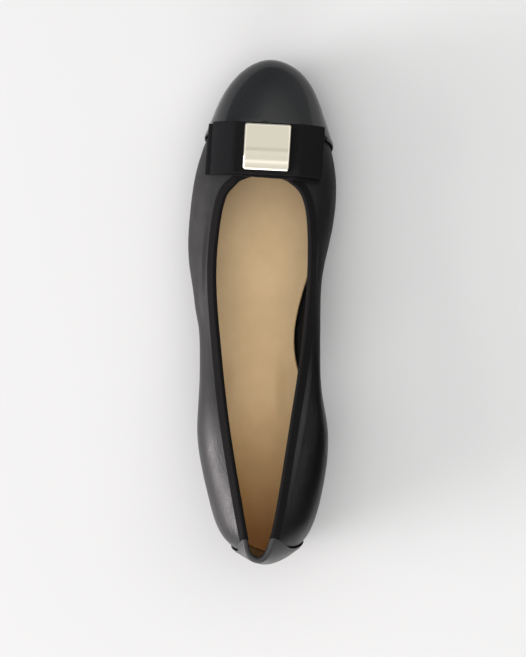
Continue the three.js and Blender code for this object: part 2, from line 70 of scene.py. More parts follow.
BINDING = 0.45
PLUMP = 0.3
BINDING_LEG = 3.2
GAP = 0.3
RIBBON_WIDTH = 25.4
RIBBON = 0.8
BOW_SPAN = 55
LOWER_BOW_SPAN = 57.4
LOOP_OPEN = 1.7
LOWER_LOOP_OPEN = 1.0
BOW_DROOP = 6.5
BOW_ACROSS = 4
BOW_ALONG = 0.3168 * LENGTH
BOW_RISE = 0.25
BOW_TURN = -3
LOWER_BOW_TURN = -1.5
LOWER_BOW_ACROSS = -1.4
LOWER_BOW_BACK = 1.2
PLATE = 22.6
KNOT = PLATE + 2 * GAP
PLATE_THICKNESS = 2.6
PLATE_AHEAD = 0.4
PLATE_BEND = 1.4

# The ribs of the last. Columns: wide along, across, rise; shoulder along, across, rise; lip along, across,
# rise; tuck.
RIB_TABLE = {
    "back": (-0.491, 0.036, 0.39, -0.4868, 0.024, 0.58, -0.48, 0.003, 1.0, 0.046),
    "back inner": (-0.4748, 0.194, 0.39, -0.4712, 0.15, 0.58, -0.466, 0.07, 0.97, 0.046),
    "corner inner": (-0.442, 0.311, 0.39, -0.44, 0.25, 0.6, -0.433, 0.107, 0.86, 0.046),
    "heel inner": (-0.368, 0.407, 0.4, -0.368, 0.334, 0.62, -0.364, 0.15, 0.52, 0.049),
    "seat inner": (-0.21, 0.444, 0.38, -0.21, 0.4, 0.62, -0.206, 0.232, -0.07, 0.062),
    "waist inner": (-0.056, 0.308, 0.2, -0.056, 0.403, 0.66, -0.056, 0.308, -0.12, 0.04),
    "joint inner": (0.096, 0.418, 0.25, 0.096, 0.412, 0.66, 0.096, 0.347, -0.09, 0.042),
    "ball inner": (0.208, 0.502, 0.27, 0.208, 0.431, 0.74, 0.2, 0.3275, -0.09, 0.037),
    "vamp inner": (0.32, 0.477, 0.25, 0.304, 0.402, 0.66, 0.2448, 0.257, -0.04, 0.035),
    "edge inner": (0.38, 0.412, 0.23, 0.355, 0.345, 0.6, 0.2544, 0.215, 0, 0.034),
    "cap inner": (0.428, 0.355, 0.2, 0.398, 0.288, 0.54, 0.262, 0.171, 0, 0.033),
    "toe inner": (0.47, 0.262, 0.175, 0.441, 0.21, 0.47, 0.2684, 0.095, 0, 0.033),
    "toe tip": (0.496, 0.055, 0.165, 0.468, 0.046, 0.43, 0.2704, 0.02, 0, 0.033),
    "toe outer": (0.47, -0.13, 0.175, 0.4406, -0.1, 0.47, 0.2688, -0.049, 0, 0.033),
    "cap outer": (0.428, -0.24, 0.2, 0.3968, -0.194, 0.54, 0.262, -0.118, 0, 0.033),
    "edge outer": (0.376, -0.3205, 0.23, 0.3536, -0.262, 0.6, 0.2544, -0.158, 0, 0.034),
    "vamp outer": (0.32, -0.398, 0.25, 0.304, -0.333, 0.66, 0.2448, -0.195, -0.04, 0.035),
    "ball outer": (0.2, -0.478, 0.27, 0.202, -0.404, 0.74, 0.2, -0.265, -0.09, 0.037),
    "joint outer": (0.096, -0.484, 0.26, 0.096, -0.394, 0.8, 0.096, -0.308, -0.09, 0.042),
    "waist outer": (-0.056, -0.38, 0.22, -0.056, -0.386, 0.7, -0.056, -0.28, -0.12, 0.045),
    "seat outer": (-0.232, -0.418, 0.37, -0.232, -0.364, 0.62, -0.228, -0.206, -0.05, 0.057),
    "heel outer": (-0.368, -0.339, 0.4, -0.368, -0.28, 0.62, -0.364, -0.129, 0.52, 0.049),
    "corner outer": (-0.442, -0.24, 0.39, -0.44, -0.196, 0.6, -0.433, -0.09, 0.86, 0.046),
    "back outer": (-0.474, -0.118, 0.39, -0.4696, -0.095, 0.58, -0.466, -0.066, 0.97, 0.046),
}

# The heel patch's front edge: height as a share of BACK_HEIGHT, and how far ahead as a share of LENGTH
PATCH_EDGE = (
    (-0.2, 0.062),
    (0.08, 0.05),
    (0.3, 0.039),
    (0.47, 0.0345),
    (0.62, 0.034),
    (0.76, 0.038),
    (0.88, 0.049),
    (0.98, 0.0635),
    (1.2, 0.075),
)

# Creases of the leather. Columns: points in plan (x, y); depth, below 0 a trough and above 0 a ridge; half
# width.
CREASES = (
    (((-26.2, 44), (-28.4, 24), (-30.0, 8), (-31.4, -8)), 1.1, 3.0),
    (((-23.6, 40), (-25.4, 20), (-27.0, 4), (-28.8, -10)), -0.5, 2.4),
    (((-31.5, 44), (-33.0, 28), (-33.6, 14)), -0.2, 2.4),
    (((31.4, 60), (32.0, 54), (31.6, 46)), -0.35, 0.8),
    (((33.2, 58), (33.4, 51), (32.6, 44)), -0.3, 0.7),
    (((29.4, 32), (28.8, 22), (28.6, 13)), -0.3, 0.8),
    (((24.4, 60), (27.2, 48), (28.0, 36)), 0.25, 1.6),
    (((26.2, -8), (24.6, -34), (21.6, -56), (16.6, -80), (12.5, -98)), 0.4, 1.5),
    (((29.4, -14), (28.6, -40), (26.0, -64)), -0.3, 2.6),
    (((-27.6, -20), (-28.4, -40), (-26.4, -62)), -0.18, 4.0),
)


# Curves and the last's surface


def closed_curve(knots, values):
    """A smooth cubic through rows of values, which meets itself at the last knot."""
    n = len(values)
    width = np.diff(knots)
    matrix = np.zeros((n, n))
    right = np.zeros_like(values)
    for i in range(n):
        before, after = width[i - 1], width[i]
        matrix[i, i - 1] += before / 6
        matrix[i, i] += (before + after) / 3
        matrix[i, (i + 1) % n] += after / 6
        right[i] = (values[(i + 1) % n] - values[i]) / after - (values[i] - values[i - 1]) / before
    bend = np.linalg.solve(matrix, right)

    def at(t):
        t = np.mod(t, knots[-1])
        i = np.clip(np.searchsorted(knots, t, "right") - 1, 0, n - 1)
        j = (i + 1) % n
        h = width[i][..., None]
        a = (knots[i + 1] - t)[..., None] / h
        b = 1 - a
        return a * values[i] + b * values[j] + ((a**3 - a) * bend[i] + (b**3 - b) * bend[j]) * h * h / 6

    return at


def smooth(t):
    t = np.clip(t, 0, 1)
    return t * t * (3 - 2 * t)


def unit(v):
    return v / np.linalg.norm(v, axis=-1, keepdims=True)


def for_each(points, value):
    """A number, or a row or grid of numbers, as one factor for each of the points."""
    return np.broadcast_to(np.asarray(value, float), points.shape[:-1])[..., None]


def sole_line(y):
    """Height of the outsole's underside."""
    spring = TOE_SPRING * (np.maximum(0, y - TREAD_FRONT) / (LENGTH / 2 - TREAD_FRONT)) ** 2
    return spring + HEEL_HEIGHT * smooth((TREAD_BACK - y) / (TREAD_BACK - BREAST))


RIB_ROWS = np.array(list(RIB_TABLE.values()), float)
WIDE = np.stack([RIB_ROWS[:, 1] * BALL_WIDTH, RIB_ROWS[:, 0] * LENGTH], 1)
WIDE_STEPS = np.linalg.norm(np.roll(WIDE, -1, 0) - WIDE, axis=1)
RIB_KNOTS = np.append(0, np.cumsum(WIDE_STEPS))
ROUND = RIB_KNOTS[-1]
rib_values = closed_curve(RIB_KNOTS, RIB_ROWS)


def knot(name):
    return RIB_KNOTS[list(RIB_TABLE).index(name)]


def outward(r):
    """Outward direction of the wide outline, in plan."""
    ahead, behind = rib_values(r + 0.5), rib_values(r - 0.5)
    x = (ahead[..., 0] - behind[..., 0]) * LENGTH
    y = -(ahead[..., 1] - behind[..., 1]) * BALL_WIDTH
    return unit(np.stack([x, y, np.zeros_like(x)], -1))


class Ribs:
    """The ribs at distances round the wide outline: smooth curves from feather edge to lip."""

    def __init__(self, r):
        v = rib_values(r)

        def place(along, across, z):
            return np.stack([across * BALL_WIDTH, along * LENGTH, z], -1)

        top = sole_line(v[..., 0] * LENGTH) + OUTSOLE
        wide = place(v[..., 0], v[..., 1], top + v[..., 2] * INSTEP)
        lip_height = INSTEP + (BACK_HEIGHT - INSTEP) * v[..., 8]
        lip = place(v[..., 6], v[..., 7], sole_line(v[..., 6] * LENGTH) + OUTSOLE + lip_height)
        rise = wide[..., 2] + (lip[..., 2] - wide[..., 2]) * v[..., 5]
        shoulder = place(v[..., 3], v[..., 4], rise)
        feather = wide - outward(r) * (v[..., 9] * BALL_WIDTH)[..., None]
        feather[..., 2] = sole_line(feather[..., 1]) + OUTSOLE + GAP
        self.points = np.stack([feather, wide, shoulder, lip], -2)
        steps = np.diff(self.points, axis=-2)
        h = np.linalg.norm(steps, axis=-1)
        self.knots = np.concatenate([np.zeros_like(h[..., :1]), np.cumsum(h, -1)], -1)
        self.end = self.knots[..., -1]
        slope = steps / h[..., None]
        right1 = slope[..., 1, :] - slope[..., 0, :]
        right2 = slope[..., 2, :] - slope[..., 1, :]
        a = ((h[..., 0] + h[..., 1]) / 3)[..., None]
        b = (h[..., 1] / 6)[..., None]
        d = ((h[..., 1] + h[..., 2]) / 3)[..., None]
        det = a * d - b * b
        none = np.zeros_like(right1)
        bend1 = (right1 * d - right2 * b) / det
        bend2 = (right2 * a - right1 * b) / det
        self.bend = np.stack([none, bend1, bend2, none], -2)
        self.h = h

    def at(self, t):
        """Points at distances up from the feather edge."""
        t = np.clip(t, 0, self.end)
        i = (t > self.knots[..., 1]).astype(int) + (t > self.knots[..., 2]).astype(int)

        def pick(array, index):
            return np.take_along_axis(array, index[..., None, None], -2)[..., 0, :]

        def pick1(array, index):
            return np.take_along_axis(array, index[..., None], -1)

        h = pick1(self.h, i)
        a = (pick1(self.knots, i + 1) - t[..., None]) / h
        b = 1 - a
        cubic = (a**3 - a) * pick(self.bend, i) + (b**3 - b) * pick(self.bend, i + 1)
        return a * pick(self.points, i) + b * pick(self.points, i + 1) + cubic * h * h / 6


def skin(r, below):
    """Points of the last's surface at distances below the lip, with outward normals and the ways up."""
    r, below = np.broadcast_arrays(np.asarray(r, float), np.asarray(below, float))
    line = Ribs(r)
    t = line.end - below
    share = t / line.end
    up = line.at(t + 0.25) - line.at(t - 0.25)
    after, before = Ribs(r + 0.25), Ribs(r - 0.25)
    around = after.at(after.end * share) - before.at(before.end * share)
    return line.at(t), unit(np.cross(around, up)), unit(up)


def off_skin(r, below, out):
    """Points at distances off the last's surface, kept above the outsole."""
    point, normal, _ = skin(r, below)
    point = point + normal * for_each(point, out)
    point[..., 2] = np.maximum(point[..., 2], sole_line(point[..., 1]) + OUTSOLE + GAP)
    return point


def over_lip(r, turn, out):
    """Points on a fold over the lip: turn goes from 0 outside to 1 inside."""
    lip, normal, up = skin(r, 0)
    out = for_each(lip, out)
    angle = for_each(lip, np.asarray(turn, float) * math.pi)
    aside = normal * ((WALL / 2 + out) * np.cos(angle) - WALL / 2)
    above = up * ((out + PLUMP) * np.sin(angle))
    return lip + aside + above


HALVINGS = 26


def crossing(test, low, high):
    """Where a test over an array of places changes sign between low and high, by halving."""
    low, high = np.array(low, float), np.array(high, float)
    at_low = test(low) > 0
    for _ in range(HALVINGS):
        middle = (low + high) / 2
        same = (test(middle) > 0) == at_low
        low = np.where(same, middle, low)
        high = np.where(same, high, middle)
    return (low + high) / 2


def behind_cap_edge(p):
    """How far points lie behind the toe cap's back edge."""
    turn = math.radians(-CAP_TURN)
    along = p[..., 0] * math.sin(turn) + p[..., 1] * math.cos(turn)
    return CAP_EDGE + CAP_LEAN * (p[..., 2] - CAP_EDGE_RISE) - along


PATCH_HEIGHTS, PATCH_AHEAD = np.array(PATCH_EDGE).T
PATCH_FINE = np.linspace(PATCH_HEIGHTS[0], PATCH_HEIGHTS[-1], 57)
PATCH_CURVE = np.interp(PATCH_FINE, PATCH_HEIGHTS, PATCH_AHEAD)
PATCH_SMOOTHINGS = 12
for _ in range(PATCH_SMOOTHINGS):
    PATCH_CURVE[1:-1] = (PATCH_CURVE[:-2] + 2 * PATCH_CURVE[1:-1] + PATCH_CURVE[2:]) / 4


def ahead_of_patch_edge(p):
    """How far points lie ahead of the heel patch's front edge."""
    turn = math.radians(PATCH_TURN)
    along = p[..., 1] * math.cos(turn) - p[..., 0] * math.sin(turn)
    height = (p[..., 2] - HEEL_HEIGHT - OUTSOLE) / BACK_HEIGHT
    return along - LENGTH * (np.interp(height, PATCH_FINE, PATCH_CURVE) - 0.5)


def crease_relief(p):
    """Height of the leather's creases at points of its outer face."""
    relief = np.zeros(p.shape[:-1])
    flat = p[..., :2]
    for line, depth, width in CREASES:
        line = np.array(line, float)
        nearest = np.full(p.shape[:-1], 1e9)
        run = np.zeros(p.shape[:-1])
        for k in range(len(line) - 1):
            a, b = line[k], line[k + 1]
            t = np.clip(((flat - a) @ (b - a)) / ((b - a) @ (b - a)), 0, 1)
            away = np.linalg.norm(flat - (a + t[..., None] * (b - a)), axis=-1)
            closer = away < nearest
            nearest = np.where(closer, away, nearest)
            run = np.where(closer, (k + t) / (len(line) - 1), run)
        fade = np.sin(np.pi * np.clip(run, 0.02, 0.98)) ** 0.6
        relief += depth * fade * np.exp(-((nearest / width) ** 2))
    return relief


def soft_noise(p, size, seed):
    """Slow noise of about -1 to 1 at points, its lumps about size apart."""
    flat = p.reshape(-1, 3) / size
    values = [noise.noise(Vector((q[0] + seed, q[1] - seed, q[2] + 2 * seed))) for q in flat]
    return np.array(values).reshape(p.shape[:-1])


# Meshes


def mesh_object(name, points, faces, uvs=None):
    """An object from points and texture places in millimetres."""
    data = bpy.data.meshes.new(name)
    data.from_pydata((np.asarray(points).reshape(-1, 3) * MM).tolist(), [], faces)
    data.validate()
    data.update()
    if uvs is not None:
        layer = data.uv_layers.new(name="UVMap")
        flat = np.asarray(uvs).reshape(-1, 2) * MM
        index = np.zeros(len(data.loops), int)
        data.loops.foreach_get("vertex_index", index)
        layer.data.foreach_set("uv", flat[index].astype(np.float32).ravel())
    data.shade_smooth()
    obj = bpy.data.objects.new(name, data)
    bpy.context.scene.collection.objects.link(obj)
    return obj


def grid_faces(rows, columns, rows_closed=False, columns_closed=False):
    faces = []
    for row in range(rows if rows_closed else rows - 1):
        here, ahead = row * columns, (row + 1) % rows * columns
        for column in range(columns if columns_closed else columns - 1):
            beside = (column + 1) % columns
            faces.append((here + column, ahead + column, ahead + beside, here + beside))
    return faces


def between(places, run, rows):
    """Rows of values at places along a run."""
    return np.stack([np.interp(places, run, column) for column in rows.T], -1)


def lengths(points, axis):
    """Distances run along one axis of a grid of points."""
    steps = np.linalg.norm(np.diff(points, axis=axis), axis=-1)
    zero = np.zeros_like(np.take(steps, [0], axis))
    return np.concatenate([zero, np.cumsum(steps, axis)], axis)


def thicken(obj, thickness, offset):
    """Thickness for a sheet, inwards with offset -1 and both ways with 0. Its cut edges take the second
    material."""
    solidify = obj.modifiers.new("thickness", "SOLIDIFY")
    solidify.thickness = thickness * MM
    solidify.offset = offset
    solidify.material_offset_rim = 1


def soften_edges(obj, width, segments, degrees):
    """A bevel along the edges that turn by more than an angle."""
    bevel = obj.modifiers.new("soft edges", "BEVEL")
    bevel.width = width * MM
    bevel.segments = segments
    bevel.limit_method = "ANGLE"
    bevel.angle_limit = math.radians(degrees)


def weld(obj, reach):
    obj.modifiers.new("weld", "WELD").merge_threshold = reach * MM


def sheet(name, points, thickness, bevel):
    """A sheet of points given thickness on its inner side, with soft edges."""
    uvs = np.stack([lengths(points, 0), lengths(points, 1)], -1)
    obj = mesh_object(name, points, grid_faces(*points.shape[:2]), uvs)
    thicken(obj, thickness, -1)
    soften_edges(obj, bevel, 2, 55)
    return obj


def finished(obj, material, part=None, edge=None):
    """Gives an object its materials, makes its modifiers real and ties it to the frame. Where it takes the
    place of a part, that part is hidden."""
    obj.data.materials.append(material)
    obj.data.materials.append(edge or material)
    if obj.modifiers:
        bpy.context.view_layer.update()
        evaluated = obj.evaluated_get(bpy.context.evaluated_depsgraph_get())
        data = bpy.data.meshes.new_from_object(evaluated)
        obj.modifiers.clear()
        obj.data = data
    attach(obj, "root")
    if part:
        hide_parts(part)


# Materials

SHADER_INPUTS = {
    "specular": "Specular IOR Level",
    "metallic": "Metallic",
    "coat": "Coat Weight",
    "coat_roughness": "Coat Roughness",
    "sheen": "Sheen Weight",
    "sheen_roughness": "Sheen Roughness",
}


def gray(value):
    return (value, value, value)


def link(socket, target):
    socket.id_data.links.new(socket, target)


def texture_place(tree, which="Object"):
    return tree.nodes.new("ShaderNodeTexCoord").outputs[which]


def new_material(name, color, roughness, **more):
    """A material, its shader's inputs and the place that its textures follow. More of the inputs are set by
    their short names."""
    material = bpy.data.materials.new(name)
    material.use_nodes = True
    inputs = material.node_tree.nodes["Principled BSDF"].inputs
    inputs["Base Color"].default_value = (*color, 1)
    inputs["Roughness"].default_value = roughness
    for key, value in more.items():
        inputs[SHADER_INPUTS[key]].default_value = value
    return material, inputs, texture_place(material.node_tree)


def axes(place):
    """The sockets X, Y and Z of a place."""
    node = place.id_data.nodes.new("ShaderNodeSeparateXYZ")
    link(place, node.inputs[0])
    return node.outputs


def stretched(place, scale):
    node = place.id_data.nodes.new("ShaderNodeMapping")
    node.inputs["Scale"].default_value = scale
    link(place, node.inputs["Vector"])
    return node.outputs["Vector"]


def noise_at(place, size, detail=3, roughness=0.55):
    """Noise with lumps of a size in millimetres."""
    node = place.id_data.nodes.new("ShaderNodeTexNoise")
    node.inputs["Scale"].default_value = 1 / (size * MM)
    node.inputs["Detail"].default_value = detail
    node.inputs["Roughness"].default_value = roughness
    link(place, node.inputs["Vector"])
    return node.outputs["Fac"]


def cells_at(place, size, feature="F1"):
    node = place.id_data.nodes.new("ShaderNodeTexVoronoi")
    node.feature = feature
    node.inputs["Scale"].default_value = 1 / (size * MM)
    link(place, node.inputs["Vector"])
    return node.outputs["Distance"]


def ranged(socket, low, high, from_low=0.0, from_high=1.0):
    """A value taken from one range to another and kept within it."""
    node = socket.id_data.nodes.new("ShaderNodeMapRange")
    node.inputs["From Min"].default_value = from_low
    node.inputs["From Max"].default_value = from_high
    node.inputs["To Min"].default_value = low
    node.inputs["To Max"].default_value = high
    link(socket, node.inputs["Value"])
    return node.outputs["Result"]


def colors(socket, stops):
    """A color ramp over a value, by stops of (value, color)."""
    node = socket.id_data.nodes.new("ShaderNodeValToRGB")
    ramp = node.color_ramp
    while len(ramp.elements) < len(stops):
        ramp.elements.new(0.5)
    for element, (place, color) in zip(ramp.elements, stops):
        element.position = place
        element.color = (*color, 1)
    link(socket, node.inputs["Fac"])
    return node.outputs["Color"]


def multiplied(a, b, factor=None):
    """One color times another, all over or by a factor's socket."""
    node = a.id_data.nodes.new("ShaderNodeMix")
    node.data_type = "RGBA"
    node.blend_type = "MULTIPLY"
    if factor is None:
        node.inputs["Factor"].default_value = 1.0
    else:
        link(factor, node.inputs["Factor"])
    link(a, node.inputs["A"])
    link(b, node.inputs["B"])
    return node.outputs["Result"]


def bumped(inputs, layers):
    """Bump layers of (height socket, depth in millimetres), the coarsest first."""
    previous = None
    for height, depth in layers:
        node = height.id_data.nodes.new("ShaderNodeBump")
        node.inputs["Strength"].default_value = 1.0
        node.inputs["Distance"].default_value = depth * MM
        link(height, node.inputs["Height"])
        if previous is not None:
            link(previous, node.inputs["Normal"])
        previous = node.outputs["Normal"]
    link(previous, inputs["Normal"])
    return previous


def math_node(operation, a, b=None):
    """An operation on a socket and, where it takes two, on a number or a second socket."""
    node = a.id_data.nodes.new("ShaderNodeMath")
    node.operation = operation
    link(a, node.inputs[0])
    if isinstance(b, (int, float)):
        node.inputs[1].default_value = b
    elif b is not None:
        link(b, node.inputs[1])
    return node.outputs[0]


def leather_material():
    material, inputs, place = new_material("leather", gray(0.01), 0.48, specular=0.44)
    slow = noise_at(place, 22, 2)
    shade = colors(slow, ((0.3, (0.0032, 0.003, 0.0031)), (0.7, (0.0062, 0.0057, 0.0059))))
    link(shade, inputs["Base Color"])
    # The vamp is dulled by bending, and the quarters keep more of their gloss.
    bent = ranged(axes(place)["Y"], -0.05, 0.2, -30 * MM, 15 * MM)
    worn = ranged(noise_at(place, 9, 4), 0.4, 0.5, 0.3, 0.7)
    link(math_node("ADD", worn, bent), inputs["Roughness"])
    pull = noise_at(stretched(place, (2.2, 0.6, 1.2)), 3.2)
    grain = cells_at(place, 0.75, "SMOOTH_F1")
    fine = noise_at(place, 0.25, 2)
    bumped(inputs, ((pull, 0.1), (grain, 0.05), (fine, 0.02)))
    return material


def patent_material(name, roughness, base, coat, coat_roughness):
    more = {"specular": 0.1, "coat": coat, "coat_roughness": coat_roughness}
    material, inputs, place = new_material(name, base, roughness, **more)
    dust = noise_at(place, 5, 5)
    link(ranged(dust, roughness, roughness + 0.1, 0.35, 0.75), inputs["Roughness"])
    swell = noise_at(place, 11, 2)
    peel = noise_at(place, 1.4, 2)
    normal = bumped(inputs, ((swell, 0.09), (peel, 0.006)))
    link(normal, inputs["Coat Normal"])
    return material


THREAD_PITCH = 0.22


def grosgrain_material(name, base, pitch, depth):
    """Ribbed tape: ribs across it, of threads that run along it, by its own lengths in the UVs."""
    more = {"specular": 0.15, "sheen": 0.015, "sheen_roughness": 0.45}
    material, inputs, place = new_material(name, base, 0.8, **more)
    on_tape = axes(texture_place(material.node_tree, "UV"))

    def waves(socket, apart):
        return math_node("SINE", math_node("MULTIPLY", socket, 2 * math.pi / (apart * MM)))

    ribs = waves(on_tape["X"], pitch)
    threads = waves(on_tape["Y"], THREAD_PITCH)
    fuzz = noise_at(place, 0.4, 4, 0.7)
    # The color runs from dark in the ribs' grooves to light on their crests, as painted shade and painted
    # highlight, mixed with fuzz of random tone
    rib_shade_and_fuzz = math_node("ADD", math_node("MULTIPLY", ribs, 0.28), fuzz)
    dark = tuple(0.45 * c for c in base)
    light = tuple(1.7 * c for c in base)
    link(colors(rib_shade_and_fuzz, ((0.2, dark), (0.85, light))), inputs["Base Color"])
    bumped(inputs, ((ribs, depth), (threads, 0.02), (fuzz, 0.03)))
    return material


# The insole's color along it, from the heel (0) to the toe (1): darker towards the toe as painted shade,
# and at the heel a redder brown of the leather, darkened further by painted shade
INSOLE_TONES_AND_SHADE = (
    (0.08, (0.68, 0.30, 0.07)),
    (0.2, (0.78, 0.44, 0.155)),
    (0.36, (0.90, 0.61, 0.31)),
    (0.6, (0.91, 0.64, 0.345)),
    (0.9, (0.82, 0.56, 0.30)),
)
INSOLE_MOTTLE = ((0.3, (0.93, 0.92, 0.90)), (0.7, gray(1.02)))

# Soft patches of painted shade on the insole beside the arch: middle (x, y) and reach (x, y), and their
# color outwards
INSOLE_SHADE_PATCHES = (
    {"middle": (-16.8, -34), "reach": (4.6, 19)},
    {"middle": (10.0, -38), "reach": (3.8, 18)},
)
SHADE_PATCH_TONES = ((0.0, (0.90, 0.86, 0.81)), (0.4, (0.95, 0.93, 0.91)), (1.0, gray(1.0)))


def insole_material():
    material, inputs, place = new_material("insole_leather", (0.6, 0.42, 0.22), 0.5, coat=0.08)
    on_shoe = axes(place)
    along = ranged(on_shoe["Y"], 0, 1, -LENGTH / 2 * MM, LENGTH / 2 * MM)
    wander = math_node("ADD", along, math_node("MULTIPLY", noise_at(place, 26), 0.06))
    # Tones along the insole, with painted shade towards the toe and the heel
    tone = colors(wander, INSOLE_TONES_AND_SHADE)
    tone = multiplied(tone, colors(noise_at(place, 14, 5), INSOLE_MOTTLE))
    # Two soft patches of painted shade beside the arch
    for shade_patch in INSOLE_SHADE_PATCHES:
        squares = []
        for axis, middle, reach in zip("XY", shade_patch["middle"], shade_patch["reach"]):
            away = math_node("ADD", on_shoe[axis], -middle * MM)
            away = math_node("MULTIPLY", away, 1 / (reach * MM))
            squares.append(math_node("MULTIPLY", away, away))
        tone = multiplied(tone, colors(math_node("ADD", *squares), SHADE_PATCH_TONES))
    link(tone, inputs["Base Color"])
    worn = ranged(noise_at(place, 8, 4), 0.42, 0.6, 0.3, 0.7)
    link(worn, inputs["Roughness"])
    pores = cells_at(place, 0.6, "SMOOTH_F1")
    lines = noise_at(stretched(place, (1.0, 0.35, 1.0)), 5, 4)
    bumped(inputs, ((lines, 0.16), (pores, 0.035)))
    return material


def lining_material(name, base):
    material, inputs, place = new_material(name, base, 0.6)
    light = tuple(1.35 * c for c in base)
    dark = tuple(0.75 * c for c in base)
    shade = colors(noise_at(place, 6, 4), ((0.3, dark), (0.7, light)))
    link(shade, inputs["Base Color"])
    bumped(inputs, ((noise_at(place, 2.5), 0.08), (cells_at(place, 0.5), 0.04)))
    return material


def sole_material(name, base, roughness):
    material, inputs, place = new_material(name, base, roughness)
    scuffs = noise_at(stretched(place, (1.0, 1.0, 6.0)), 6, 5, 0.65)
    light = tuple(1.9 * c + 0.004 for c in base)
    link(colors(scuffs, ((0.4, base), (0.8, light))), inputs["Base Color"])
    worn = ranged(scuffs, roughness - 0.08, roughness + 0.15, 0.3, 0.75)
    link(worn, inputs["Roughness"])
    bumped(inputs, ((noise_at(place, 1.1, 4), 0.05), (noise_at(place, 0.3), 0.03)))
    return material


def plate_material():
    material, inputs, place = new_material("plated_metal", (0.86, 0.80, 0.67), 0.05, metallic=1.0)
    haze = noise_at(place, 4, 5, 0.6)
    link(ranged(haze, 0.03, 0.07, 0.3, 0.75), inputs["Roughness"])
    scratches = noise_at(stretched(place, (0.25, 6.0, 1.0)), 0.8)
    bumped(inputs, ((scratches, 0.0012),))
    return material


def thread_material():
    material, inputs, place = new_material("thread", (0.012, 0.011, 0.012), 0.7, sheen=0.2)
    twist = noise_at(stretched(place, (1, 1, 3)), 0.3, 2)
    shade = colors(twist, ((0.3, gray(0.006)), (0.7, (0.03, 0.028, 0.03))))
    link(shade, inputs["Base Color"])
    bumped(inputs, ((twist, 0.06),))
    return material


LEATHER = leather_material()
CAP_PATENT = patent_material("patent_cap", 0.25, (0.004, 0.0050, 0.0060), 0.8, 0.11)
PATCH_PATENT = patent_material("patent_patch", 0.4, (0.05, 0.05, 0.051), 0.3, 0.26)
RIBBON_CLOTH = grosgrain_material("grosgrain", (0.0052, 0.005, 0.006), 0.8, 0.035)
TAPE_CLOTH = grosgrain_material("binding_tape", (0.0072, 0.0062, 0.0062), 0.75, 0.06)
INSOLE_LEATHER = insole_material()
BLACK_LINING = lining_material("black_lining", (0.011, 0.0105, 0.0105))
HEEL_LINING = lining_material("heel_lining", (0.30, 0.185, 0.085))
SOLE_RUBBER = sole_material("outsole_rubber", (0.012, 0.012, 0.013), 0.5)
HEEL_LACQUER = sole_material("heel_cover", (0.01, 0.0095, 0.0095), 0.34)
LIFT_RUBBER = sole_material("lift_rubber", gray(0.016), 0.7)
# Near-black for cut edges, and painted shade on the heel patch's inner side
CUT_EDGE_AND_SHADE = lining_material("cut_edge_and_shade", gray(0.004))
METAL = plate_material()
THREAD = thread_material()


# Upper: the leather, its creases and the edge turned in under the insole

LEATHER_THICKNESS = 0.9
ROUNDS = 460
rounds = np.linspace(0, ROUND, ROUNDS, endpoint=False)[:, None]
ends = Ribs(rounds).end


def wall_places(count):
    """Distances below the lip for every rib, from the feather edge up."""
    share = 1 - np.linspace(0, 1, count) ** 0.95
    return share[None, :] * ends


outer_below = wall_places(58)
leather_outer, leather_normal, _ = skin(rounds, outer_below)
clear_of_lip = smooth((outer_below - BINDING_LEG - 0.6) / 3)
clear_of_sole = smooth((ends - outer_below) / 4)
clear_of_cap = smooth((behind_cap_edge(leather_outer) - 0.8) / 3)
clear_of_patch = smooth((ahead_of_patch_edge(leather_outer) - 0.8) / 3)
calm = clear_of_lip * clear_of_sole * clear_of_cap * clear_of_patch
pulled = leather_outer * np.array([1.0, 0.55, 1.0])
relief = crease_relief(leather_outer)
relief += 0.16 * soft_noise(pulled, 13, 3.7)
relief += 0.07 * soft_noise(pulled, 4.5, 8.1)
leather_outer = leather_outer + leather_normal * (relief * calm)[..., None]

feather = Ribs(rounds[:, 0]).at(np.zeros(ROUNDS))
away = outward(rounds[:, 0])
margin_top = feather[:, 2] + LASTING
leather_inner = off_skin(rounds, wall_places(16), -LEATHER_THICKNESS)
leather_inner[..., 2] = np.maximum(leather_inner[..., 2], margin_top[:, None])
edge_low = feather - away * (WALL + LASTING_MARGIN)
edge_low[:, 2] = sole_line(edge_low[:, 1]) + OUTSOLE + GAP
edge_high = edge_low + np.array([0, 0, LASTING])
leather_ring = np.concatenate(
    [leather_outer, leather_inner[:, ::-1], edge_high[:, None], edge_low[:, None]], axis=1
)
upper_faces = grid_faces(*leather_ring.shape[:2], True, True)
finished(mesh_object("upper_leather", leather_ring, upper_faces), LEATHER, "upper")

# Lining: black along the sides and the toe, tan round the heel

LINING = 0.5
LINING_DROP = 0.3


def lining_part(name, material, start, stop, count):
    places = np.linspace(start, stop, count)[:, None]
    line_ends = Ribs(places).end
    below = LINING_DROP + np.linspace(0, 1, 22)[None, :] * (line_ends - LINING_DROP - LASTING - 0.2)
    inside = off_skin(places, below, -WALL)
    lowest = sole_line(inside[..., 1]) + OUTSOLE + LASTING + 2 * GAP
    inside[..., 2] = np.maximum(inside[..., 2], lowest)
    finished(sheet(name, inside, LINING, 0.1), material)


lining_part("lining_front", BLACK_LINING, knot("heel inner") + 1, knot("heel outer") - 1, 300)
lining_part("lining_heel", HEEL_LINING, knot("heel outer") - 1, knot("heel inner") + ROUND + 1, 90)

# Toe cap: patent leather over the toe, cut off along its back edge


def feather_behind(r):
    return behind_cap_edge(off_skin(r, Ribs(r).end, GAP + CAP))


CAP_ROUNDS = 230
cap_start = crossing(feather_behind, knot("ball inner"), knot("toe tip"))
cap_stop = crossing(feather_behind, knot("toe tip"), knot("ball outer"))
spread = (1 - np.cos(np.linspace(0.02, math.pi - 0.02, CAP_ROUNDS))) / 2
cap_rounds = cap_start + (cap_stop - cap_start) * spread
cap_end = Ribs(cap_rounds).end


def cap_behind(below):
    return behind_cap_edge(off_skin(cap_rounds, below, GAP + CAP))


